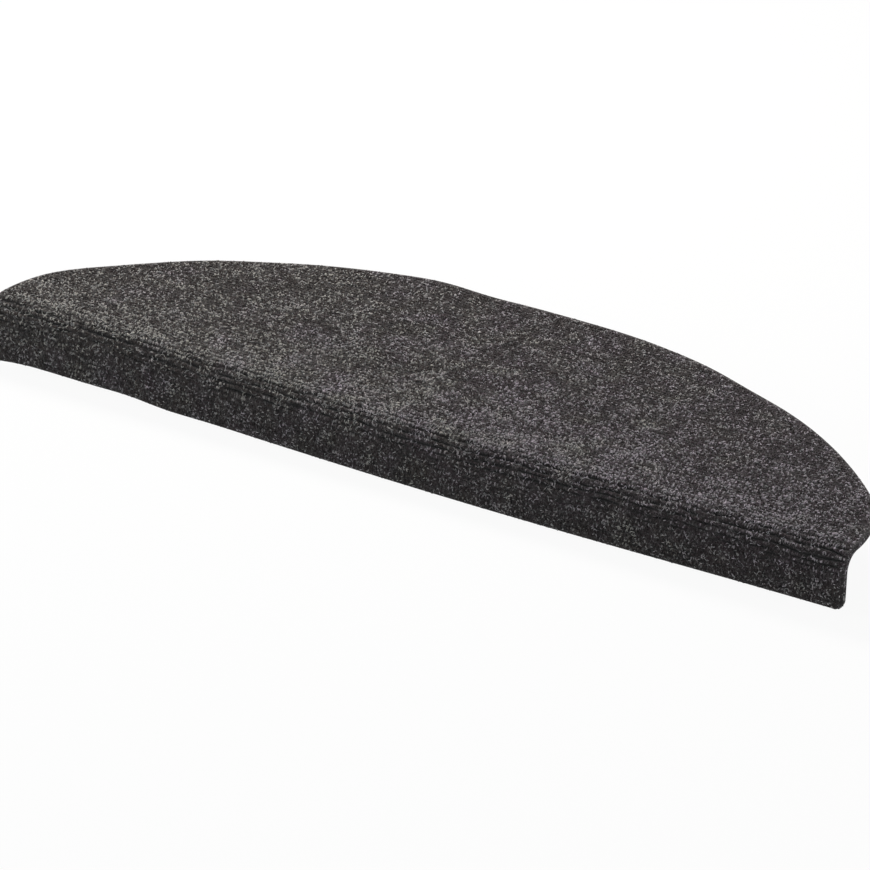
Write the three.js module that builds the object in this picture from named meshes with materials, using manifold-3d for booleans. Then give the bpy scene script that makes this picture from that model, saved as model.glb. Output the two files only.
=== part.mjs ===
// Anti slip stair tread mat: one piece of charcoal needle felt that covers one step.
// A half-round plate lies on the tread, and its front edge is folded down over the nosing as a lip.
// Fine rows run along the step, on the plate, round the fold and down the lip.
//
// Millimetres, +Z up, +X along the step, +Y towards the riser behind it.
// The origin is on the flat underside of the plate, half-way along the width and the depth of the mat.

import * as THREE from "three";
import { mergeVertices } from "three/addons/utils/BufferGeometryUtils.js";
import Module from "manifold-3d";

// Driving dimensions

// Along the step, from side to side.
const MAT_WIDTH = 650;
// From the front of the lip to the crown of the rounded back edge.
const TREAD_DEPTH = 210;
// From the foot of the lip to the walked-on face.
const NOSING_HEIGHT = 40;
const FELT_THICKNESS = 4.8;
const BEND_INSIDE_RADIUS = 11;

// The back edge is a three-centred arch: a straight stretch at each side, a shoulder arc and one crown arc.
const SIDE_STRAIGHT = 11;
const SHOULDER_RADIUS = 104;
// At the two ends of the lip's foot.
const LIP_CORNER_RADIUS = 6;

// Rows of the face, from groove to groove, and how deep the grooves are.
const ROW_PITCH = 3.1;
const ROW_DEPTH = 0.45;
// The fold stretches the face, so its rows lie further apart and their grooves gape.
const BEND_ROW_COUNT = 6;
const BEND_ROW_DEPTH = 1.1;

// How finely the round stretches are divided.
const SHOULDER_STEPS = 16;
const CROWN_STEPS = 40;
const CORNER_STEPS = 6;
const BEND_STEPS = 12;

// How far the ribbed web runs past the cut edges before it is cut to shape.
const WASTE = 8;

// Levels and lines that follow from the sizes

const QUARTER = Math.PI / 2;
const frontY = -TREAD_DEPTH / 2;
const backY = TREAD_DEPTH / 2;
const sideX = MAT_WIDTH / 2;
const faceZ = FELT_THICKNESS;
const footZ = faceZ - NOSING_HEIGHT;
const bendOutsideRadius = BEND_INSIDE_RADIUS + FELT_THICKNESS;
const bendCentre = { y: frontY + bendOutsideRadius, z: -BEND_INSIDE_RADIUS };

// One row from its groove to the next: the share of the pitch, and the share of the groove's depth.
const ROW_SECTION = [
  [0, 1],
  [0.2, 0.3],
  [0.5, 0],
  [0.8, 0.3],
];

// Points of an arc, both ends included.
function arc(centreX, centreY, radius, startAngle, endAngle, steps) {
  const points = [];
  for (let i = 0; i <= steps; i += 1) {
    const angle = startAngle + ((endAngle - startAngle) * i) / steps;
    points.push(new THREE.Vector2(centreX + radius * Math.cos(angle), centreY + radius * Math.sin(angle)));
  }
  return points;
}

// Grooves and crowns of a run of rows, as the distance along the face and the depth below its crowns.
function rowRun(count, pitch, depth) {
  const run = [];
  for (let row = 0; row < count; row += 1) {
    for (const [share, sink] of ROW_SECTION) {
      run.push({ along: (row + share) * pitch, sink: sink * depth });
    }
  }
  return run;
}

// The web's section across the rows, in Y and Z: the plate, the fold and the lip, with their waste.
function webSection() {
  const plateRows = Math.ceil((backY + WASTE - bendCentre.y) / ROW_PITCH);
  const lipRows = Math.ceil((bendCentre.z - footZ + WASTE) / ROW_PITCH);
  const bendPitch = (bendOutsideRadius * QUARTER) / BEND_ROW_COUNT;
  const plateEndY = bendCentre.y + plateRows * ROW_PITCH;
  const lipEndZ = bendCentre.z - lipRows * ROW_PITCH;

  const points = [];
  for (const { along, sink } of rowRun(plateRows, ROW_PITCH, ROW_DEPTH)) {
    points.push(new THREE.Vector2(plateEndY - along, faceZ - sink));
  }
  for (const { along, sink } of rowRun(BEND_ROW_COUNT, bendPitch, BEND_ROW_DEPTH)) {
    const angle = QUARTER + along / bendOutsideRadius;
    const radius = bendOutsideRadius - sink;
    points.push(new THREE.Vector2(bendCentre.y + radius * Math.cos(angle), bendCentre.z + radius * Math.sin(angle)));
  }
  for (const { along, sink } of rowRun(lipRows, ROW_PITCH, ROW_DEPTH)) {
    points.push(new THREE.Vector2(frontY + sink, bendCentre.z - along));
  }
  points.push(new THREE.Vector2(frontY, lipEndZ));
  points.push(new THREE.Vector2(frontY + FELT_THICKNESS, lipEndZ));
  points.push(...arc(bendCentre.y, bendCentre.z, BEND_INSIDE_RADIUS, 2 * QUARTER, QUARTER, BEND_STEPS));
  points.push(new THREE.Vector2(plateEndY, 0));
  return new THREE.Shape(points);
}

// The mat seen from above, in X and Y. It runs past the lip, which the fold has already shaped.
function planOutline() {
  const shoulderX = sideX - SHOULDER_RADIUS;
  const shoulderY = frontY + SIDE_STRAIGHT;
  // The crown arc passes through the middle of the back edge and touches both shoulder arcs.
  const rise = backY - shoulderY;
  const crownRadius = (shoulderX ** 2 + rise ** 2 - SHOULDER_RADIUS ** 2) / (2 * (rise - SHOULDER_RADIUS));
  const crownY = backY - crownRadius;
  const meeting = Math.atan2(shoulderY - crownY, shoulderX);
  const across = Math.PI - meeting;
  const points = [
    new THREE.Vector2(-sideX, frontY - WASTE),
    new THREE.Vector2(sideX, frontY - WASTE),
    ...arc(shoulderX, shoulderY, SHOULDER_RADIUS, 0, meeting, SHOULDER_STEPS),
    ...arc(0, crownY, crownRadius, meeting, across, CROWN_STEPS).slice(1, -1),
    ...arc(-shoulderX, shoulderY, SHOULDER_RADIUS, across, Math.PI, SHOULDER_STEPS),
  ];
  return new THREE.Shape(points);
}

// The mat seen from the front, in X and Z: the foot of the lip with its two rounded corners.
function frontOutline() {
  const cornerX = sideX - LIP_CORNER_RADIUS;
  const cornerZ = footZ + LIP_CORNER_RADIUS;
  const points = [
    new THREE.Vector2(-sideX - WASTE, faceZ + WASTE),
    new THREE.Vector2(-sideX - WASTE, cornerZ),
    ...arc(-cornerX, cornerZ, LIP_CORNER_RADIUS, Math.PI, 3 * QUARTER, CORNER_STEPS),
    ...arc(cornerX, cornerZ, LIP_CORNER_RADIUS, -QUARTER, 0, CORNER_STEPS),
    new THREE.Vector2(sideX + WASTE, cornerZ),
    new THREE.Vector2(sideX + WASTE, faceZ + WASTE),
  ];
  return new THREE.Shape(points);
}

const wasm = await Module();
wasm.setup();

// A prism of the shape, moved from its own axes into the mat's by the matrix, as a solid.
function prism(shape, length, matrix) {
  const geometry = new THREE.ExtrudeGeometry(shape, { depth: length, bevelEnabled: false });
  geometry.deleteAttribute("normal");
  geometry.deleteAttribute("uv");
  const merged = mergeVertices(geometry.applyMatrix4(matrix));
  const solid = new wasm.Mesh({
    numProp: 3,
    vertProperties: new Float32Array(merged.attributes.position.array),
    triVerts: new Uint32Array(merged.index.array),
  });
  return new wasm.Manifold(solid);
}

function toGeometry(solid) {
  const mesh = solid.getMesh();
  const geometry = new THREE.BufferGeometry();
  geometry.setAttribute("position", new THREE.BufferAttribute(new Float32Array(mesh.vertProperties), 3));
  geometry.setIndex(new THREE.BufferAttribute(new Uint32Array(mesh.triVerts), 1));
  geometry.computeVertexNormals();
  return geometry;
}

// The ribbed web runs along X. The two outlines stand across it, one along Z and one along Y.
const webLength = MAT_WIDTH + 2 * WASTE;
const alongX = new THREE.Matrix4().set(0, 0, 1, -webLength / 2, 1, 0, 0, 0, 0, 1, 0, 0, 0, 0, 0, 1);
const cutHeight = NOSING_HEIGHT + 4 * WASTE;
const alongZ = new THREE.Matrix4().makeTranslation(0, 0, footZ - 2 * WASTE);
const cutDepth = TREAD_DEPTH + 4 * WASTE;
const alongY = new THREE.Matrix4().set(1, 0, 0, 0, 0, 0, -1, cutDepth / 2, 0, 1, 0, 0, 0, 0, 0, 1);

const web = prism(webSection(), webLength, alongX);
const trimmed = web.intersect(prism(planOutline(), cutHeight, alongZ));
const mat = trimmed.intersect(prism(frontOutline(), cutDepth, alongY));

const felt = new THREE.MeshStandardMaterial({ color: 0x4c4947, roughness: 0.97, metalness: 0 });
const treadMat = new THREE.Mesh(toGeometry(mat), felt);
treadMat.name = "tread_mat";

const stairTreadMat = new THREE.Group();
stairTreadMat.add(treadMat);

export default stairTreadMat;
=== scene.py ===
import itertools

import bpy
import mathutils
import numpy as np
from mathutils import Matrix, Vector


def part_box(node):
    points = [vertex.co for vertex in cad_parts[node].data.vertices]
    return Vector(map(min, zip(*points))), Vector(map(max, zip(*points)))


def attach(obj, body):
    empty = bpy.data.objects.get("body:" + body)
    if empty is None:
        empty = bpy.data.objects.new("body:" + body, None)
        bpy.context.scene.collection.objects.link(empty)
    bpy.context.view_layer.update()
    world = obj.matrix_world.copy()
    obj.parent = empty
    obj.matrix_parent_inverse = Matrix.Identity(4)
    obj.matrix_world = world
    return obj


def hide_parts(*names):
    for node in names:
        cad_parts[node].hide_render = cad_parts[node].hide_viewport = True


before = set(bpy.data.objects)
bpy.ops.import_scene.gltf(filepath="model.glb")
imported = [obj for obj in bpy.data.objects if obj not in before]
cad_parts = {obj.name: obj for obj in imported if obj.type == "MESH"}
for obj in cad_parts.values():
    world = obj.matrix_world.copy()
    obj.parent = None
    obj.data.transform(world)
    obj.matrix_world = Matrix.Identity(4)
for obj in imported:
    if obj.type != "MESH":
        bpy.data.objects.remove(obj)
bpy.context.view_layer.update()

# The camera: a long lens in front of the mat, to the right of it and above. It is aimed under the
# plate, just above the level of the lip's foot, and tipped by nearly two degrees.

AIM = mathutils.Vector((-0.0155, -0.0350, -0.0336))
CAMERA_DISTANCE = 3.606
CAMERA_AZIMUTH = np.radians(32.12)
CAMERA_ELEVATION = np.radians(24.82)
CAMERA_ROLL = np.radians(1.83)
CAMERA_REACH = 20
SENSOR_WIDTH = 36.0
LENS_LENGTH = 229.9

towards_camera = mathutils.Vector((
    np.sin(CAMERA_AZIMUTH) * np.cos(CAMERA_ELEVATION),
    -np.cos(CAMERA_AZIMUTH) * np.cos(CAMERA_ELEVATION),
    np.sin(CAMERA_ELEVATION),
))
level = mathutils.Vector((0, 0, 1)).cross(towards_camera).normalized()
upright = towards_camera.cross(level)
tipped_right = level * np.cos(CAMERA_ROLL) + upright * np.sin(CAMERA_ROLL)
tipped_up = upright * np.cos(CAMERA_ROLL) - level * np.sin(CAMERA_ROLL)

camera = bpy.data.objects.new("camera", bpy.data.cameras.new("camera"))
camera.data.sensor_width = SENSOR_WIDTH
camera.data.lens = LENS_LENGTH
camera.data.clip_end = CAMERA_REACH
turn = mathutils.Matrix((tipped_right, tipped_up, towards_camera)).transposed().to_4x4()
camera.matrix_world = mathutils.Matrix.Translation(AIM + towards_camera * CAMERA_DISTANCE) @ turn
bpy.context.scene.collection.objects.link(camera)
bpy.context.scene.camera = camera


# The felt: one cut of ribbed needle felt, about five millimetres thick, pressed hot over a former
# so that its front edge stands down as a lip. Its face is a mass of tangled charcoal fibres.

low_corner, high_corner = (np.array(corner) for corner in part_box("tread_mat"))
SIDE_X, FRONT_Y, BACK_Y = high_corner[0], low_corner[1], high_corner[1]
FACE_Z, FOOT_Z = high_corner[2], low_corner[2]
FELT_THICKNESS = FACE_Z
BEND_INSIDE_RADIUS = 0.011
SIDE_STRAIGHT = 0.011
SHOULDER_RADIUS = 0.104
LIP_CORNER_RADIUS = 0.006

ROW_PITCH = 0.0031
BEND_ROWS = 6

bend_radius = BEND_INSIDE_RADIUS + FELT_THICKNESS
bend_y = FRONT_Y + bend_radius
bend_z = -BEND_INSIDE_RADIUS
bend_length = bend_radius * np.pi / 2
plate_length = BACK_Y - bend_y
face_length = bend_length + bend_z - FOOT_Z
shoulder_x = SIDE_X - SHOULDER_RADIUS
shoulder_y = FRONT_Y + SIDE_STRAIGHT
rise = BACK_Y - shoulder_y
crown_radius = (shoulder_x ** 2 + rise ** 2 - SHOULDER_RADIUS ** 2) / (2 * (rise - SHOULDER_RADIUS))
crown_y = BACK_Y - crown_radius
meeting_angle = np.arctan2(shoulder_y - crown_y, shoulder_x)
meeting_y = crown_y + crown_radius * np.sin(meeting_angle)

# Places on the face are given by x and by the distance along it, which starts where the fold does:
# below nought on the plate, above it in the fold and on the lip. Rows are numbered in the same way.
along_knots = np.array((-plate_length, 0, bend_length, face_length))
lip_rows = (face_length - bend_length) / ROW_PITCH
row_knots = np.array((-plate_length / ROW_PITCH, 0, BEND_ROWS, BEND_ROWS + lip_rows))


def half_width(along):
    """How far the cut reaches to each side."""
    y = bend_y - along
    crown = np.sqrt(np.maximum(crown_radius ** 2 - (y - crown_y) ** 2, 0))
    shoulder = shoulder_x + np.sqrt(np.maximum(SHOULDER_RADIUS ** 2 - (y - shoulder_y) ** 2, 0))
    below_corner = np.maximum(along - (face_length - LIP_CORNER_RADIUS), 0)
    corner = np.sqrt(np.maximum(LIP_CORNER_RADIUS ** 2 - below_corner ** 2, 0)) - LIP_CORNER_RADIUS
    width = np.where(y > meeting_y, crown, shoulder)
    return np.where(y > shoulder_y, width, SIDE_X + corner)


def edge_distance(x, along):
    """How far inside the cut edge a place is."""
    y = bend_y - along
    from_crown = crown_radius - np.hypot(x, y - crown_y)
    past_x = np.abs(x) - shoulder_x
    past_y = y - shoulder_y
    from_shoulder = SHOULDER_RADIUS - np.hypot(past_x, past_y)
    by_shoulder = past_y * np.cos(meeting_angle) < past_x * np.sin(meeting_angle)
    from_side = half_width(along) - np.abs(x)
    on_plate = np.where(by_shoulder, from_shoulder, from_crown)
    return np.minimum(np.where(y > shoulder_y, on_plate, from_side), face_length - along)


def face_frame(x, along):
    """The points of the smooth face, and the ways out of it."""
    angle = np.clip(along / bend_radius, 0, np.pi / 2)
    out = np.stack([np.zeros_like(angle), -np.sin(angle), np.cos(angle)], axis=1)
    behind = np.minimum(along, 0)
    below = np.maximum(along - bend_length, 0)
    y = bend_y + out[:, 1] * bend_radius - behind
    z = bend_z + out[:, 2] * bend_radius - below
    return np.stack([x, y, z], axis=1), out


# Noise that wanders smoothly between random values at the corners of a grid. The long numbers scatter
# the corners' values, as a hash does.
GRID_KEYS = np.array((73856093, 19349663, 83492791))
SEED_KEY = 2654435761
FIRST_SCATTER = 1274126177
SECOND_SCATTER = 668265263
SEED_SHIFT = 7.31


def drift(places, size, seed):
    """Smooth noise from -1 to 1 at the places, with swells about as wide as size."""
    grid = places / size + seed * SEED_SHIFT
    cell = np.floor(grid).astype(np.int64)
    part = grid - cell
    part = part * part * (3 - 2 * part)
    total = np.zeros(len(places))
    for corner in itertools.product((0, 1), repeat=3):
        key = (cell + corner) @ GRID_KEYS + seed * SEED_KEY
        key = (key ^ (key >> 13)) * FIRST_SCATTER & 0xFFFFFFFF
        key = (key ^ (key >> 15)) * SECOND_SCATTER & 0xFFFFFFFF
        weight = np.prod(np.where(corner, part, 1 - part), axis=1)
        total += weight * (((key >> 8) & 0xFFFF) / 32767.5 - 1)
    return total


def opened_out(x, along, squeeze_x=1, squeeze_along=1):
    """Places on the mat as if it lay opened out flat. A squeeze above 1 makes noise finer that way."""
    return np.stack([x * squeeze_x, along * squeeze_along, np.zeros_like(x)], axis=1)


# The bow along the front is low in the middle, climbs towards the ends and levels off before them.
BOW_HEIGHT, BOW_CLIMB, BOW_DROP = 0.00439, 1.857, 0.33
# The twist lifts the right end and lowers the left one.
TWIST_HEIGHT, TWIST_SLOPE = 0.00148, 0.6
HUMP_HEIGHT, HUMP_X, HUMP_WIDTH = 0.00631, -0.192, 0.119
RIPPLE_HEIGHT, RIPPLE_X, RIPPLE_LENGTH = 0.0007, -0.102, 0.169
BACK_RISE = 0.0013
# Each buckle's middle, width and height.
FRONT_BUCKLES = ((-0.195, 0.028, 0.0008),)
BACK_BUCKLES = ((-0.228, 0.028, 0.0008), (-0.078, 0.030, 0.0010), (0.140, 0.035, 0.0008))
# This makes a buckle's crest as high as its height says.
BUCKLE_GAIN = 2.33
# At the left end the lip droops, and the plate behind it turns up, fully from a quarter of its depth.
DROOP_HEIGHT, UPTURN_HEIGHT, LEFT_END_WIDTH = 0.0028, 0.0018, 0.022
UPTURN_STEEPNESS = 4


def buckled(x, buckles):
    """Low waves in the felt, each up on the left of its middle and down on the right."""
    total = np.zeros_like(x)
    for middle, width, height in buckles:
        away = (x - middle) / width
        total -= height * BUCKLE_GAIN * away * np.exp(-away ** 2)
    return total


def settled(places):
    """The mat as it lies: bowed along its front, humped behind its left half, and a little buckled."""
    x, y, z = places.T
    reach = x / SIDE_X
    back = np.clip((y - FRONT_Y) / (BACK_Y - FRONT_Y), 0, 1)
    down_lip = np.clip((FACE_Z - z) / (FACE_Z - FOOT_Z), 0, 1)
    at_left_end = np.exp(-((x + SIDE_X) / LEFT_END_WIDTH) ** 2)
    bow = BOW_HEIGHT * (BOW_CLIMB * reach ** 2 - reach ** 4 - BOW_DROP)
    twist = TWIST_HEIGHT * (reach ** 3 - TWIST_SLOPE * reach)
    hump = HUMP_HEIGHT * np.exp(-((x - HUMP_X) / HUMP_WIDTH) ** 2) * back
    ripple = RIPPLE_HEIGHT * np.cos(2 * np.pi * (x - RIPPLE_X) / RIPPLE_LENGTH) * back ** 2
    droop = DROOP_HEIGHT * at_left_end * down_lip
    upturn = UPTURN_HEIGHT * at_left_end * np.minimum(UPTURN_STEEPNESS * back, 1)
    buckles = buckled(x, FRONT_BUCKLES) * (1 - back) ** 2 + buckled(x, BACK_BUCKLES) * back ** 2
    lifted = places.copy()
    lifted[:, 2] += bow + twist + hump + ripple + BACK_RISE * back + buckles + upturn - droop
    return lifted


ROW_DEPTH = 0.00045
# The rows wander from straight lines by this share of a row, in long slow bends.
ROW_WANDER, WANDER_SIZE, WANDER_SQUEEZE = 0.38, 0.006, 0.35

# In the fold the felt is stretched, most of all at this share of its length, and the grooves gape.
FOLD_ROW_DEPTH = 0.0022
STRETCH_MIDDLE, STRETCH_REACH = 0.62, 0.36
# How much of that depth they have in the middle of the mat, how much more to the right, and its limits.
GAPE_SHARE, GAPE_SLANT, LEAST_GAPE, MOST_GAPE = 0.60, 0.13, 0.05, 1.2
# The long and the short changes of that share, and their sizes. They are shorter across the rows.
LONG_SWELL, LONG_SWELL_SIZE = 0.6, 0.06
SHORT_SWELL, SHORT_SWELL_SIZE = 2.0, 0.006
SWELL_SQUEEZE = 2.2

# Each kind of lump's height, size and seed.
LUMPS = ((0.00022, 0.0024, 6), (0.00016, 0.006, 7), (0.0002, 0.03, 8))


def row_number(x, along):
    """Which row a place is in, and how far through it."""
    wander = ROW_WANDER * drift(opened_out(x, along, squeeze_x=WANDER_SQUEEZE), WANDER_SIZE, 3)
    return np.interp(along, along_knots, row_knots) + wander


def groove(x, along):
    """How deep a place lies in the groove between two rows."""
    row = row_number(x, along)
    share = np.abs(2 * (row - np.floor(row)) - 1)
    stretch = np.exp(-((along - STRETCH_MIDDLE * bend_length) / (STRETCH_REACH * bend_length)) ** 4)
    flat = opened_out(x, along, squeeze_along=SWELL_SQUEEZE)
    swell = LONG_SWELL * drift(flat, LONG_SWELL_SIZE, 4) + SHORT_SWELL * drift(flat, SHORT_SWELL_SIZE, 5)
    gape = np.clip(GAPE_SHARE + GAPE_SLANT * x / SIDE_X + swell, LEAST_GAPE, MOST_GAPE)
    depth = ROW_DEPTH + (FOLD_ROW_DEPTH - ROW_DEPTH) * stretch * gape
    return depth * share ** 3


def relief(x, along):
    """How far the felt stands out of its smooth face: lumps, and rows with grooves between them."""
    flat = opened_out(x, along)
    lumps = sum(height * drift(flat, size, seed) for height, size, seed in LUMPS)
    return lumps - groove(x, along)


# The cut edge is rounded a little, and the relief fades out towards it.
EDGE_ROLL = 0.0006
EDGE_MARGIN = 0.0050


def rolled(x, along):
    """How far the face drops where the cut edge is rounded."""
    inside = np.clip(EDGE_ROLL - edge_distance(x, along), 0, EDGE_ROLL)
    return EDGE_ROLL - np.sqrt(EDGE_ROLL ** 2 - inside ** 2)


def mesh_object(name, points, faces):
    """A mesh object of triangles and quads, given as arrays of point numbers."""
    mesh = bpy.data.meshes.new(name)
    mesh.from_pydata([tuple(p) for p in points.tolist()], [], [tuple(f) for f in faces])
    mesh.validate()
    mesh.polygons.foreach_set("use_smooth", [True] * len(mesh.polygons))
    mesh.update()
    piece = bpy.data.objects.new(name, mesh)
    bpy.context.scene.collection.objects.link(piece)
    return piece


def zipped(first, second):
    """Triangles between two chains of points that run side by side, with any number of points each."""
    triangles = []
    i = j = 0
    while i < len(first) - 1 or j < len(second) - 1:
        on_first = (i + 1) / (len(first) - 1) <= (j + 1) / (len(second) - 1)
        if j == len(second) - 1 or (on_first and i < len(first) - 1):
            triangles.append((first[i], first[i + 1], second[j]))
            i += 1
        else:
            triangles.append((first[i], second[j + 1], second[j]))
            j += 1
    return triangles


# How finely the mesh is divided: across the mat, across the underside, and from row to row.
ACROSS = 290
UNDERSIDE_ACROSS = 14
PLATE_LINES, FOLD_LINES, LIP_LINES = 3, 8, 4
# Lines close to the cut edge, and how far from it the even ones stop.
SIDE_INSETS = np.array((0, 0.25, 0.6, 1.1, 1.8)) / 1000
CROWN_INSETS = np.array((0.05, 0.2, 0.45, 0.8, 1.25, 1.8)) / 1000
FOOT_INSETS = np.array((1.8, 1.3, 0.8, 0.45, 0.2, 0.05, 0)) / 1000
CROWN_MARGIN, FOOT_MARGIN = 0.0026, 0.0021
# Rings down the cut edge, as shares of the thickness, and the rounding at its foot.
RIM_DEPTHS = (0.45, 0.87, 0.94, 0.98, 1.0)
UNDER_ROLL = 0.0006
# The underside's own lines are drawn in from the rounded edge, by this many roundings in all.
UNDERSIDE_INSET = 2.2

near_crown = -plate_length + CROWN_INSETS
plate_step = ROW_PITCH / PLATE_LINES
plate_lines = -np.arange(plate_step, plate_length - CROWN_MARGIN, plate_step)[::-1]
bend_lines = np.linspace(0, bend_length, BEND_ROWS * FOLD_LINES + 1)
lip_step = ROW_PITCH / LIP_LINES
lip_lines = np.arange(bend_length + lip_step, face_length - FOOT_MARGIN, lip_step)
near_foot = face_length - FOOT_INSETS
lines = np.concatenate([near_crown, plate_lines, bend_lines, lip_lines, near_foot])

# The face: a grid of points, with more of them near both sides.
widths = half_width(lines)
even_shares = np.linspace(-1, 1, ACROSS - 2 * len(SIDE_INSETS) + 2)
insets = SIDE_INSETS[:-1]
grid_x = np.concatenate([
    -widths[:, None] + insets,
    (widths[:, None] - SIDE_INSETS[-1]) * even_shares,
    widths[:, None] - insets[::-1],
], axis=1)
columns = grid_x.shape[1]
x = grid_x.ravel()
along = np.repeat(lines, columns)
base, out = face_frame(x, along)
height = relief(x, along) * np.clip(edge_distance(x, along) / EDGE_MARGIN, 0, 1) - rolled(x, along)
points = [base + out * height[:, None]]
number = np.arange(len(lines) * columns).reshape(len(lines), columns)
faces = [
    (number[i, j], number[i + 1, j], number[i + 1, j + 1], number[i, j + 1])
    for i in range(len(lines) - 1)
    for j in range(columns - 1)
]

# The cut edge: rings of points under the face's rim, down to the underside.
rim = np.concatenate([number[:, 0], number[-1, 1:], number[-2::-1, -1], number[0, -2:0:-1]])
rim_x, rim_along = x[rim], along[rim]
rim_base, rim_out = face_frame(rim_x, rim_along)
rim_run = np.roll(rim_base, -1, axis=0) - np.roll(rim_base, 1, axis=0)
rim_side = np.cross(rim_run, rim_out)
rim_side /= np.linalg.norm(rim_side, axis=1)[:, None]
drop = -height[rim]
rings = [rim]
count = len(x)
for share in RIM_DEPTHS:
    depth = drop + (FELT_THICKNESS - drop) * share
    past_roll = np.maximum(depth - (FELT_THICKNESS - UNDER_ROLL), 0)
    inset = UNDER_ROLL - np.sqrt(np.maximum(UNDER_ROLL ** 2 - past_roll ** 2, 0))
    points.append(rim_base - rim_out * depth[:, None] - rim_side * inset[:, None])
    rings.append(np.arange(count, count + len(rim)))
    count += len(rim)
ahead = np.roll(np.arange(len(rim)), -1)
for upper, lower in itertools.pairwise(rings):
    faces += [(upper[k], lower[k], lower[ahead[k]], upper[ahead[k]]) for k in range(len(rim))]

# The underside: a coarse smooth grid inside the last ring, whose four stretches it joins.
bottom = rings[-1]
left = bottom[:len(lines)]
foot = bottom[len(lines) - 1:len(lines) + columns - 1]
right = bottom[len(lines) + columns - 2:2 * len(lines) + columns - 2][::-1]
crown = [left[0], *bottom[:2 * len(lines) + columns - 3:-1], right[0]]
under_rows = []
middle = (lines[0] + lines[-1]) / 2
drawn_in = 1 - UNDERSIDE_INSET * UNDER_ROLL / (lines[-1] - lines[0])
for i in range(1, len(lines) - 1):
    across = np.linspace(-widths[i], widths[i], UNDERSIDE_ACROSS + 1)[1:-1]
    base, out = face_frame(across, np.full(len(across), middle + (lines[i] - middle) * drawn_in))
    points.append(base - out * FELT_THICKNESS)
    under_rows.append([left[i], *range(count, count + len(across)), right[i]])
    count += len(across)
for upper, lower in itertools.pairwise(under_rows):
    faces += [(upper[k], upper[k + 1], lower[k + 1], lower[k]) for k in range(UNDERSIDE_ACROSS)]
faces += zipped(crown, under_rows[0]) + zipped(under_rows[-1], foot)

felt = mesh_object("felt_mat", settled(np.concatenate(points)), faces)
# The groove depth is kept on the face, and the material paints shade into the grooves with it.
gape = np.zeros(count)
gape[:len(x)] = groove(x, along) / FOLD_ROW_DEPTH
felt.data.attributes.new("gape", "FLOAT", "POINT").data.foreach_set("value", gape)
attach(felt, "root")
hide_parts("tread_mat")


class Link:
    """A number, colour or vector in a material. Arithmetic on numbers adds their Math nodes."""

    def __init__(self, finish, socket):
        self.finish = finish
        self.socket = socket

    def maths(self, operation, other):
        return self.finish.node("ShaderNodeMath", {"operation": operation}, {0: self, 1: other})

    def __add__(self, other):
        return self.maths("ADD", other)

    def __mul__(self, other):
        return self.maths("MULTIPLY", other)

    __radd__ = __add__
    __rmul__ = __mul__


# Sockets of a Mix node for colours: its factor, its two colours and its result.
MIX_SHARE, MIX_FIRST, MIX_SECOND, MIX_RESULT = 0, 6, 7, 2

# Felt is matt: a weak shine and a soft sheen, the same in every fibre.
FIBRE_SHINE = 0.13
SHEEN_ROUGHNESS = 0.6


class Finish:
    """A material, or the world, with its nodes."""

    def __init__(self, owner):
        self.owner = owner
        owner.use_nodes = True
        self.tree = owner.node_tree
        self.tree.nodes.clear()

    def node(self, kind, settings, inputs, output=0):
        """A node of this kind. Its settings come first, with a ramp's stops as (place, value) pairs."""
        made = self.tree.nodes.new(kind)
        for name, value in settings.items():
            if name == "stops":
                ramp = made.color_ramp
                while len(ramp.elements) < len(value):
                    ramp.elements.new(0.5)
                for stop, (place, grey) in zip(ramp.elements, value):
                    stop.position = place
                    stop.color = (grey, grey, grey, 1)
            else:
                setattr(made, name, value)
        for name, value in inputs.items():
            if isinstance(value, Link):
                self.tree.links.new(value.socket, made.inputs[name])
            else:
                made.inputs[name].default_value = value
        return Link(self, made.outputs[output]) if made.outputs else None

    def place(self):
        return self.node("ShaderNodeTexCoord", {}, {}, "Object")

    def noise(self, scale, detail, roughness=0.5, distortion=0.0):
        """Cloudy noise around 0.5, with about scale swells to the metre."""
        inputs = {
            "Vector": self.place(),
            "Scale": scale,
            "Detail": detail,
            "Roughness": roughness,
            "Distortion": distortion,
        }
        return self.node("ShaderNodeTexNoise", {}, inputs)

    def ramp(self, value, *stops):
        return self.node("ShaderNodeValToRGB", {"stops": stops}, {"Fac": value})

    def mix(self, share, first, second):
        inputs = {MIX_SHARE: share, MIX_FIRST: first, MIX_SECOND: second}
        return self.node("ShaderNodeMix", {"data_type": "RGBA"}, inputs, MIX_RESULT)

    def surface(self, colour, roughness, sheen, normal=None):
        inputs = {
            "Base Color": colour,
            "Roughness": roughness,
            "Specular IOR Level": FIBRE_SHINE,
            "Sheen Weight": sheen,
            "Sheen Roughness": SHEEN_ROUGHNESS,
        }
        if normal:
            inputs["Normal"] = normal
        shader = self.node("ShaderNodeBsdfPrincipled", {}, inputs)
        self.node("ShaderNodeOutputMaterial", {}, {"Surface": shader})
        return self.owner


# The fibres' two tints, as shares of their colour, how large the patches are, and how strongly the left side
# of the plate leans to olive and the right side to plum, which is a painted tint of the light falling across
# the top.
OLIVE_SHARE = (1.04, 1.00, 0.91, 1)
PLUM_SHARE = (1.06, 0.93, 1.05, 1)
TINT_SWELLS = 38
LAMP_TINT_LEAN = 0.7
# The lean fades out over the fold, from 4 mm to 20 mm below the plate's underside.
TINT_HEIGHT_SCALE = 25


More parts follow.
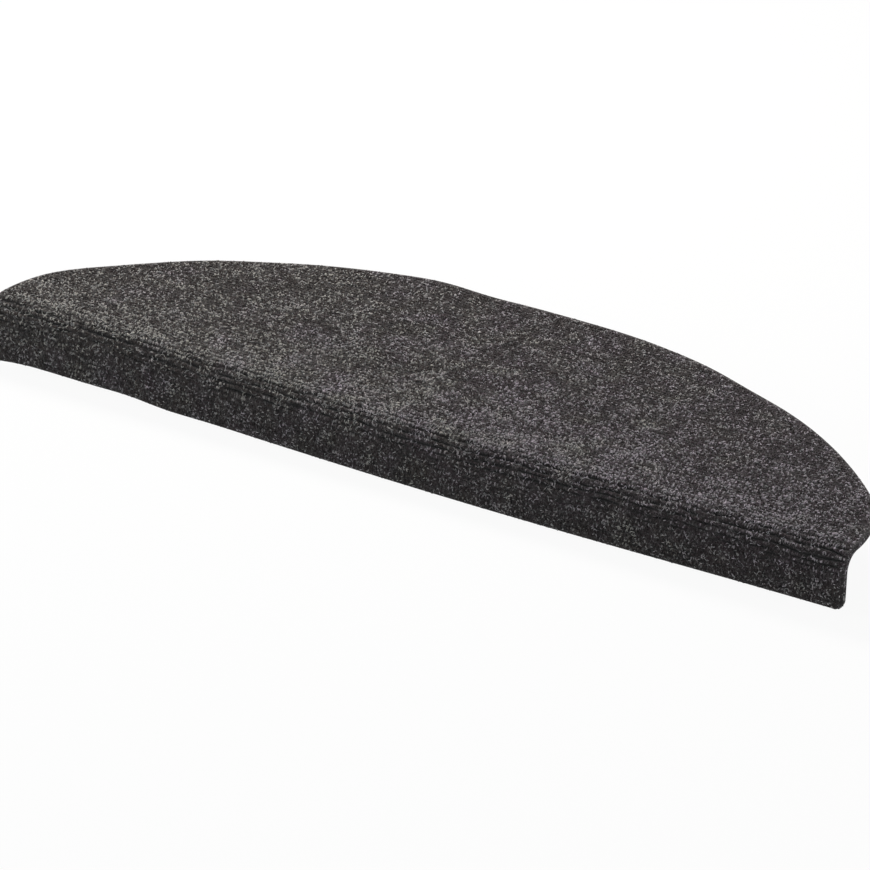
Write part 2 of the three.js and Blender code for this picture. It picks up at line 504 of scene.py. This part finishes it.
def two_tints(finish, colour):
    """The colour in patches that lean to olive or to plum, with a painted light tint that leans the plate's
    left side to olive and its right side to plum.
    """
    across = finish.node("ShaderNodeSeparateXYZ", {}, {"Vector": finish.place()}, "X")
    height = finish.node("ShaderNodeSeparateXYZ", {}, {"Vector": finish.place()}, "Z")
    on_plate = finish.ramp(height * TINT_HEIGHT_SCALE + 1, (0.5, 0), (0.9, 1))
    # Painted light tint: the plate's left side is pushed to olive and its right side to plum.
    lean = finish.noise(TINT_SWELLS, detail=3.0) + across * LAMP_TINT_LEAN * on_plate
    olive = tuple(part * share for part, share in zip(colour, OLIVE_SHARE))
    plum = tuple(part * share for part, share in zip(colour, PLUM_SHARE))
    return finish.mix(finish.ramp(lean, (0.38, 0), (0.62, 1)), olive, plum)


# The first colour is the near-black of the grooves: painted shade, partly also the bare ground between the
# rows.
GROOVE_SHADE_AND_GROUND = (0.009, 0.008, 0.008, 1)
CHARCOAL = (0.0165, 0.0137, 0.0140, 1)
WARM_CHARCOAL = (0.0385, 0.0310, 0.0310, 1)
ASH = (0.120, 0.110, 0.110, 1)
PALE_GREY = (0.415, 0.398, 0.400, 1)

FELT_ROUGHNESS = 0.92
FELT_SHEEN = 0.15
FELT_BUMP, FELT_BUMP_DEPTH = 0.8, 0.0004
# Swells to the metre of each layer of the felt's colour, and of its fuzz.
PATCH_SWELLS, MOTTLE_SWELLS, FLECK_SWELLS, FUZZ_SWELLS = 110, 420, 560, 1400
MOTTLE_SHARE = 0.6
# Pale flecks show this much in dark patches, and this much more in warm ones.
FLECK_SHARE, FLECK_GAIN = 0.3, 0.6
# How far the deepest grooves are painted towards that near-black: painted shade, partly the bare ground
# between the rows.
GROOVE_SHADE_STRENGTH = 0.9

felt_finish = Finish(bpy.data.materials.new("charcoal_needle_felt"))
patches = felt_finish.noise(PATCH_SWELLS, detail=3.0)
patches = felt_finish.ramp(patches, (0.35, 0), (0.65, 1))
mottle = felt_finish.noise(MOTTLE_SWELLS, detail=2.0, roughness=0.6, distortion=0.8)
mottle = felt_finish.ramp(mottle, (0.52, 0), (0.66, 1))
flecks = felt_finish.noise(FLECK_SWELLS, detail=1.0, distortion=1.2)
flecks = felt_finish.ramp(flecks, (0.62, 0), (0.70, 1))
# Painted shade: the deeper a groove, the nearer its colour comes to near-black.
painted_groove_shade = felt_finish.node("ShaderNodeAttribute", {"attribute_name": "gape"}, {}, "Fac")
painted_groove_shade = felt_finish.ramp(painted_groove_shade, (0.08, 0), (0.50, 1))
cloth = felt_finish.mix(patches, CHARCOAL, two_tints(felt_finish, WARM_CHARCOAL))
cloth = felt_finish.mix(mottle * MOTTLE_SHARE, cloth, ASH)
cloth = felt_finish.mix(flecks * (patches * FLECK_GAIN + FLECK_SHARE), cloth, PALE_GREY)
cloth = felt_finish.mix(painted_groove_shade * GROOVE_SHADE_STRENGTH, cloth, GROOVE_SHADE_AND_GROUND)
fuzz = felt_finish.noise(FUZZ_SWELLS, detail=3.0, roughness=0.7) + mottle * MOTTLE_SHARE
bump_inputs = {"Strength": FELT_BUMP, "Distance": FELT_BUMP_DEPTH, "Height": fuzz}
bump = felt_finish.node("ShaderNodeBump", {}, bump_inputs)
felt.data.materials.append(felt_finish.surface(cloth, FELT_ROUGHNESS, FELT_SHEEN, bump))


# The tufts: the needles have drawn the fibres up into short rows of tufts, one row on each row of the
# felt. Each tuft is a thin closed spindle with two bends, and its fibres are soot, ash or pale.

SIDES = 3
# Where along a spindle its points are, and how much of its lift each has.
PLACES = np.array((-0.5, -0.17, 0.17, 0.5))
RISES = np.array((0.0, 0.9, 1.0, 0.1))

TUFT_PITCH = 0.0018
TUFT_LENGTH = 0.0024
TUFT_RISE = 0.0004
# How far tufts lie off their places, as shares of a pitch and of a row, and off their heading.
TUFT_SHIFT, TUFT_ROW_SHIFT, TUFT_TURN, TUFT_CURL = 0.18, 0.07, 0.5, 0.6
TUFT_MARGIN = 0.0015
RIM_TUFTS = 2200
RIM_SINK = 0.00015

# Pale fibres gather in small clumps and in wider patches.
CLUMP_SIZE, CLUMP_GAIN = 0.0045, 1.2
PATCH_SIZE, PATCH_GAIN = 0.016, 0.6
# Painted light: pale tufts and loose fibres are made commoner towards the front of the plate and most of all
# just into the fold, where the bend catches the light, and less so at the back and towards both ends of the
# mat.
PAINTED_LIGHT_ALONG = (-0.190, -0.060, -0.022, -0.008, 0.001, 0.004, 0.009, 0.0105, 0.022, 0.030)
PAINTED_LIGHT_GAIN = (-0.20, 0.05, 0.50, 0.60, 1.10, 1.60, 1.50, 0.25, 0.25, 0.0)
PAINTED_LIGHT_FADE = 0.5

# Shares of the tufts that are ash and pale. The rest are soot.
ASH_SHARE = 0.27
PALE_SHARE = 0.18

CHARCOAL_FIBRE = (0.071, 0.0575, 0.0580, 1)
ASH_FIBRE = (0.161, 0.148, 0.148, 1)
PALE_FIBRE = (0.460, 0.444, 0.446, 1)

# A fibre is darker in places, by this share of its colour.
DARK_SHARE = 0.55
SHADE_SWELLS = 500
FIBRE_ROUGHNESS = 0.8
FIBRE_SHEEN = 0.1

# These keep a division by no length from failing.
LEAST_STEP = 1e-9
LEAST_NORM = 1e-12


def clumped(x, along, seed):
    """Where pale fibres gather, from about -1 to 1, with painted light added near the front of the plate and
    the start of the fold.
    """
    flat = opened_out(x, along)
    # Painted light: more pale fibres near the front of the plate and just into the fold, fewer towards the
    # ends.
    crest = np.interp(along, PAINTED_LIGHT_ALONG, PAINTED_LIGHT_GAIN) * (1 - PAINTED_LIGHT_FADE * (x / SIDE_X) ** 2)
    return CLUMP_GAIN * drift(flat, CLUMP_SIZE, seed) + PATCH_GAIN * drift(flat, PATCH_SIZE, seed + 1) + crest


def draped(places, lifts):
    """Paths on the face, a little above it, through places given as x and distance along."""
    path = []
    outs = []
    for (x, along), lift in zip(places, lifts):
        along = np.clip(along, -plate_length, face_length)
        base, out = face_frame(x, along)
        inside = np.clip(edge_distance(x, along) / EDGE_MARGIN, 0, 1)
        height = (relief(x, along) + lift) * inside - rolled(x, along)
        path.append(base + out * height[:, None])
        outs.append(out)
    return np.array(path), np.array(outs)


def laid(x, along, heading, span, curl, lift):
    """Paths of spindles that lie nearly straight on the face."""
    places = []
    for place in PLACES:
        angle = heading + curl * place
        places.append((x + np.cos(angle) * span * place, along + np.sin(angle) * span * place))
    return draped(places, [lift * share for share in RISES])


rim_loop = np.concatenate([rim_base, rim_base[:1]])
rim_steps = np.linalg.norm(np.diff(rim_loop, axis=0), axis=1)
rim_reach = np.concatenate([[0], np.cumsum(rim_steps)])
# How deep under the face they lie on the cut edge, as shares of the thickness, and the least depth.
RIM_PLACES = (0.2, 0.66)
RIM_MARGIN = 0.0008


def on_rim(chance, count, span, lift):
    """Paths of spindles that lie on the cut edge."""
    reach = chance.uniform(0, rim_reach[-1], count)
    part = np.searchsorted(rim_reach, reach, side="right") - 1
    part = np.clip(part, 0, len(rim_steps) - 1)
    run = (rim_loop[part + 1] - rim_loop[part]) / (rim_steps[part, None] + LEAST_STEP)
    base = rim_loop[part] + run * (reach - rim_reach[part])[:, None]
    down = -rim_out[part]
    out = np.cross(down, run)
    depth = chance.uniform(*RIM_PLACES, count) * FELT_THICKNESS
    heading = chance.uniform(0, 2 * np.pi, count)
    path = []
    for place, share in zip(PLACES, RISES):
        sideways = np.cos(heading) * span * place
        below = depth + np.sin(heading) * span * place
        below = np.clip(below, RIM_MARGIN, FELT_THICKNESS - UNDER_ROLL)
        path.append(base + run * sideways[:, None] + down * below[:, None] + out * (lift * share))
    return np.array(path), np.repeat(out[None], len(PLACES), axis=0)


def spindles(name, colour, path, outs, thick):
    """A piece of closed spindles along paths of points, with a ring of points at all but the ends."""
    count = path.shape[1]
    rings = [path[0][:, None]]
    for k in range(1, len(path) - 1):
        ahead = path[k + 1] - path[k - 1]
        ahead /= np.linalg.norm(ahead, axis=1)[:, None] + LEAST_NORM
        beside = np.cross(ahead, outs[k])
        beside /= np.linalg.norm(beside, axis=1)[:, None] + LEAST_NORM
        above = np.cross(beside, ahead)
        ring = []
        for side in range(SIDES):
            angle = np.pi / 2 + 2 * np.pi * side / SIDES
            ring.append(path[k] + (beside * np.cos(angle) + above * np.sin(angle)) * thick[:, None])
        rings.append(np.stack(ring, axis=1))
    rings.append(path[-1][:, None])
    points = np.concatenate(rings, axis=1)
    last_ring = 1 + SIDES * (len(path) - 3)
    pattern = []
    for side in range(SIDES):
        after = (side + 1) % SIDES
        pattern.append((0, 1 + after, 1 + side))
        for near in range(1, last_ring, SIDES):
            far = near + SIDES
            pattern.append((near + side, near + after, far + after))
            pattern.append((near + side, far + after, far + side))
        pattern.append((last_ring + side, last_ring + after, last_ring + SIDES))
    faces = (np.arange(count)[:, None, None] * points.shape[1] + np.array(pattern)[None]).reshape(-1, 3)
    piece = mesh_object(name, settled(points.reshape(-1, 3)), faces.tolist())
    finish = Finish(bpy.data.materials.new(name))
    shade = finish.ramp(finish.noise(SHADE_SWELLS, detail=1.0), (0.35, 0), (0.65, 1))
    dark = tuple(part * DARK_SHARE for part in colour[:3]) + (1,)
    tone = finish.mix(shade, dark, two_tints(finish, colour))
    piece.data.materials.append(finish.surface(tone, FIBRE_ROUGHNESS, FIBRE_SHEEN))
    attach(piece, "root")
    return piece


# Every other row of tufts is moved by half a pitch, and each tuft follows the wander of its row.
chance = np.random.default_rng(11)
stations = int(SIDE_X / TUFT_PITCH)
tuft_rows = np.arange(int(np.floor(row_knots[0])), int(np.ceil(row_knots[-1])))
row_of, station_of = np.meshgrid(tuft_rows, np.arange(-stations, stations + 1), indexing="ij")
row_of = row_of.ravel()
station_of = station_of.ravel()
tuft_x = (station_of + 0.5 * (row_of % 2) + chance.normal(0, TUFT_SHIFT, row_of.size)) * TUFT_PITCH
crown_of_row = row_of + 0.5 + chance.normal(0, TUFT_ROW_SHIFT, row_of.size)
straight_along = np.interp(crown_of_row, row_knots, along_knots)
straight_row = np.interp(straight_along, along_knots, row_knots)
wander = row_number(tuft_x, straight_along) - straight_row
tuft_along = np.interp(straight_row - wander, row_knots, along_knots)
kept = edge_distance(tuft_x, tuft_along) > TUFT_MARGIN
tuft_x = tuft_x[kept]
tuft_along = tuft_along[kept]
paleness = clumped(tuft_x, tuft_along, 21) + chance.uniform(-1, 1, tuft_x.size)


def tufts(name, seed, colour, radius, lowest_share, highest_share):
    """A piece of the tufts whose paleness lies between two shares of them all."""
    chance = np.random.default_rng(seed)
    least, most = np.quantile(paleness, (lowest_share, highest_share))
    picked = (paleness >= least) & (paleness < most)
    x = tuft_x[picked]
    count = len(x)
    heading = np.pi / 2 + chance.normal(0, TUFT_TURN, count)
    span = TUFT_LENGTH * chance.uniform(0.7, 1.2, count)
    curl = chance.normal(0, TUFT_CURL, count)
    lift = TUFT_RISE * chance.uniform(0.5, 1.5, count)
    path, outs = laid(x, tuft_along[picked], heading, span, curl, lift)
    rim_count = int(RIM_TUFTS * (highest_share - lowest_share))
    rim_path, rim_outs = on_rim(chance, rim_count, TUFT_LENGTH, -RIM_SINK)
    thick = radius * chance.uniform(0.6, 1.25, count + rim_count)
    path = np.concatenate([path, rim_path], axis=1)
    outs = np.concatenate([outs, rim_outs], axis=1)
    return spindles(name, colour, path, outs, thick)


loose_pieces = [
    tufts("soot_tufts", 1, CHARCOAL_FIBRE, 0.00066, 0, 1 - ASH_SHARE - PALE_SHARE),
    tufts("ash_tufts", 2, ASH_FIBRE, 0.00070, 1 - ASH_SHARE - PALE_SHARE, 1 - PALE_SHARE),
    tufts("pale_tufts", 3, PALE_FIBRE, 0.00074, 1 - PALE_SHARE, 1),
]


# The loose fibres: single ends of fibre that the needles have teased out of the face. They lie on it
# at every heading, nearly straight, and they are fewer in the fold, where the former has pressed it.

SOOT_FIBRE = (0.026, 0.0205, 0.0210, 1)
BRIGHT_FIBRE = (0.635, 0.622, 0.624, 1)

# How many places are tried for each fibre, and the seed of the clumps that choose between them.
FIBRE_TRIES = 4
CLUMP_SEED = 40
FIBRE_MARGIN = 0.0004
FIBRE_CURL = 1.2
RIM_RISE = 0.0001
# One more fibre for this many lies on the cut edge.
FACE_FIBRES_PER_RIM_FIBRE = 30
# The lower this value, the evener and the denser they lie. The fold has one of its own.
FACE_EVENNESS, FOLD_EVENNESS = -1.4, -0.55
FOLD_START, FOLD_END = 0.3, 1.1


def fibres(name, seed, colour, count, length, radius, lift):
    """A piece of loose fibres, which gather in clumps."""
    chance = np.random.default_rng(seed)
    tries = count * FIBRE_TRIES
    x = chance.uniform(-SIDE_X, SIDE_X, tries)
    along = chance.uniform(-plate_length, face_length, tries)
    heading = chance.uniform(0, 2 * np.pi, tries)
    span = length * chance.uniform(0.5, 1.5, tries)
    reach_x = np.cos(heading) * span / 2
    reach_along = np.sin(heading) * span / 2
    first_tip = edge_distance(x - reach_x, along - reach_along)
    last_tip = edge_distance(x + reach_x, along + reach_along)
    in_fold = (along > FOLD_START * bend_length) & (along < FOLD_END * bend_length)
    least = np.where(in_fold, FOLD_EVENNESS, FACE_EVENNESS)
    inside = np.minimum(first_tip, last_tip) > FIBRE_MARGIN
    kept = inside & (chance.uniform(least, 1, tries) < clumped(x, along, seed + CLUMP_SEED))
    x, along, heading, span = (values[kept][:count] for values in (x, along, heading, span))
    count = len(x)
    curl = chance.normal(0, FIBRE_CURL, count)
    path, outs = laid(x, along, heading, span, curl, lift * chance.uniform(0.4, 1.6, count))
    rim_path, rim_outs = on_rim(chance, count // FACE_FIBRES_PER_RIM_FIBRE, length, RIM_RISE)
    path = np.concatenate([path, rim_path], axis=1)
    outs = np.concatenate([outs, rim_outs], axis=1)
    return spindles(name, colour, path, outs, radius * chance.uniform(0.7, 1.3, path.shape[1]))


loose_pieces += [
    fibres("pale_fibres", 4, BRIGHT_FIBRE, count=12500, length=0.0025, radius=0.00031, lift=0.0006),
    fibres("ash_fibres", 5, ASH_FIBRE, count=11000, length=0.0026, radius=0.00033, lift=0.0005),
    fibres("soot_fibres", 6, SOOT_FIBRE, count=8000, length=0.0034, radius=0.00028, lift=0.0005),
]


# The curled fibres: a few long single fibres that have sprung up into open loops. There are more and
# wider ones at the left end of the fold.

CURLS = 360
CURL_TRIES = 3
CURL_POINTS = 8
CURL_RADIUS = 0.0014
CURL_THICKNESS = 0.0002
# The least and the most that a curl turns through, and that it rises.
CURL_SWEEPS = (1.8, 4.4)
CURL_LIFTS = (0.0006, 0.0014)
LEFT_CURLS = 16
LEFT_CURL_GAIN = 1.6
# How far along the mat they lie, as shares of half its width, of the lip and of the fold.
CURL_REACH, LEFT_CURL_REACH = 0.97, 0.85
CURL_FOOT = 0.8
LEFT_CURL_START, LEFT_CURL_END = -0.2, 0.5


def curls(name, seed, colour, count):
    """A piece of curled fibres."""
    chance = np.random.default_rng(seed)
    x = np.concatenate([
        chance.uniform(-CURL_REACH * SIDE_X, CURL_REACH * SIDE_X, count * CURL_TRIES),
        chance.uniform(-CURL_REACH * SIDE_X, -LEFT_CURL_REACH * SIDE_X, LEFT_CURLS),
    ])
    along = np.concatenate([
        chance.uniform(-plate_length, CURL_FOOT * face_length, count * CURL_TRIES),
        chance.uniform(LEFT_CURL_START * bend_length, LEFT_CURL_END * bend_length, LEFT_CURLS),
    ])
    kept = edge_distance(x, along) > EDGE_MARGIN
    x = x[kept][-count:]
    along = along[kept][-count:]
    count = len(x)
    heading = chance.uniform(0, 2 * np.pi, count)
    sweep = chance.uniform(*CURL_SWEEPS, count)
    radius = CURL_RADIUS * chance.uniform(0.5, 1.6, count)
    radius[-LEFT_CURLS:] *= LEFT_CURL_GAIN
    lift = chance.uniform(*CURL_LIFTS, count)
    places = []
    lifts = []
    for part in np.linspace(0, 1, CURL_POINTS):
        angle = heading + sweep * part
        places.append((x + np.cos(angle) * radius, along + np.sin(angle) * radius))
        lifts.append(lift * np.sin(np.pi * part))
    path, outs = draped(places, lifts)
    return spindles(name, colour, path, outs, CURL_THICKNESS * chance.uniform(0.7, 1.3, count))


loose_pieces.append(curls("curled_fibres", 7, BRIGHT_FIBRE, CURLS))


# The studio: a sweep of white paper, a large soft lamp above and behind the left end, and two weaker
# fills, one low on the right and one in front.

WHITE = (1, 1, 1, 1)
# The paper's colour where it lights the mat from below, and where it is seen.
DIM_PAPER = (0.35, 0.35, 0.35, 1)
WHITE_PAPER = (0.9, 0.9, 0.9, 1)
# How much of the paper that is seen glows white. The rest takes the mat's shadow.
PAPER_GLOW = 0.93
AMBIENT = 0.2

# The floor is a little below the pressed foot of the lip, because its left end droops.
FLOOR_GAP = 0.0035
FLOOR_Z = FOOT_Z - FLOOR_GAP
FLOOR_REACH = 4.0

floor_corners = [
    (side * FLOOR_REACH, end * FLOOR_REACH, FLOOR_Z)
    for side, end in ((-1, -1), (1, -1), (1, 1), (-1, 1))
]
floor_mesh = bpy.data.meshes.new("studio_floor")
floor_mesh.from_pydata(floor_corners, [], [(0, 1, 2, 3)])
floor = bpy.data.objects.new("studio_floor", floor_mesh)
bpy.context.scene.collection.objects.link(floor)


def backdrop_seen(finish):
    """1 where the backdrop is seen, straight, mirrored or through glass, and 0 where it gives light."""
    ways = ("Is Camera Ray", "Is Glossy Ray", "Is Transmission Ray")
    return sum(finish.node("ShaderNodeLightPath", {}, {}, way) for way in ways)


paper = Finish(bpy.data.materials.new("studio_paper"))
glow = paper.node("ShaderNodeEmission", {}, {"Color": WHITE, "Strength": 1.0})
dim = paper.node("ShaderNodeBsdfDiffuse", {}, {"Color": DIM_PAPER})
white = paper.node("ShaderNodeBsdfDiffuse", {}, {"Color": WHITE_PAPER})
shown = paper.node("ShaderNodeMixShader", {}, {0: PAPER_GLOW, 1: white, 2: glow})
chosen = paper.node("ShaderNodeMixShader", {}, {0: backdrop_seen(paper), 1: dim, 2: shown})
paper.node("ShaderNodeOutputMaterial", {}, {"Surface": chosen})
floor_mesh.materials.append(paper.owner)

air = Finish(bpy.data.worlds.new("studio_air"))
backdrop = air.node("ShaderNodeBackground", {}, {"Color": WHITE, "Strength": 1.0})
ambient = air.node("ShaderNodeBackground", {}, {"Color": WHITE, "Strength": AMBIENT})
chosen = air.node("ShaderNodeMixShader", {}, {0: backdrop_seen(air), 1: ambient, 2: backdrop})
air.node("ShaderNodeOutputWorld", {}, {"Surface": chosen})
bpy.context.scene.world = air.owner

# Each lamp's name, place, diameter, power and colour. All are aimed at the origin.
LAMPS = (
    ("overhead_lamp", (-0.65, 0.60, 1.20), 0.6, 19.7, (1.0, 0.965, 0.94)),
    ("side_fill", (1.95, -0.10, 0.30), 0.8, 10.9, (0.88, 1.0, 0.99)),
    ("front_fill", (-0.9, -1.6, 0.8), 1.0, 13.4, (0.88, 0.98, 1.0)),
)
for name, place, diameter, power, colour in LAMPS:
    light = bpy.data.lights.new(name, "AREA")
    light.shape = "DISK"
    light.size = diameter
    light.energy = power
    light.color = colour
    lamp = bpy.data.objects.new(name, light)
    lamp.location = place
    lamp.rotation_euler = (-mathutils.Vector(place)).to_track_quat("-Z", "Y").to_euler()
    bpy.context.scene.collection.objects.link(lamp)

view = bpy.context.scene.view_settings
view.view_transform = "Standard"
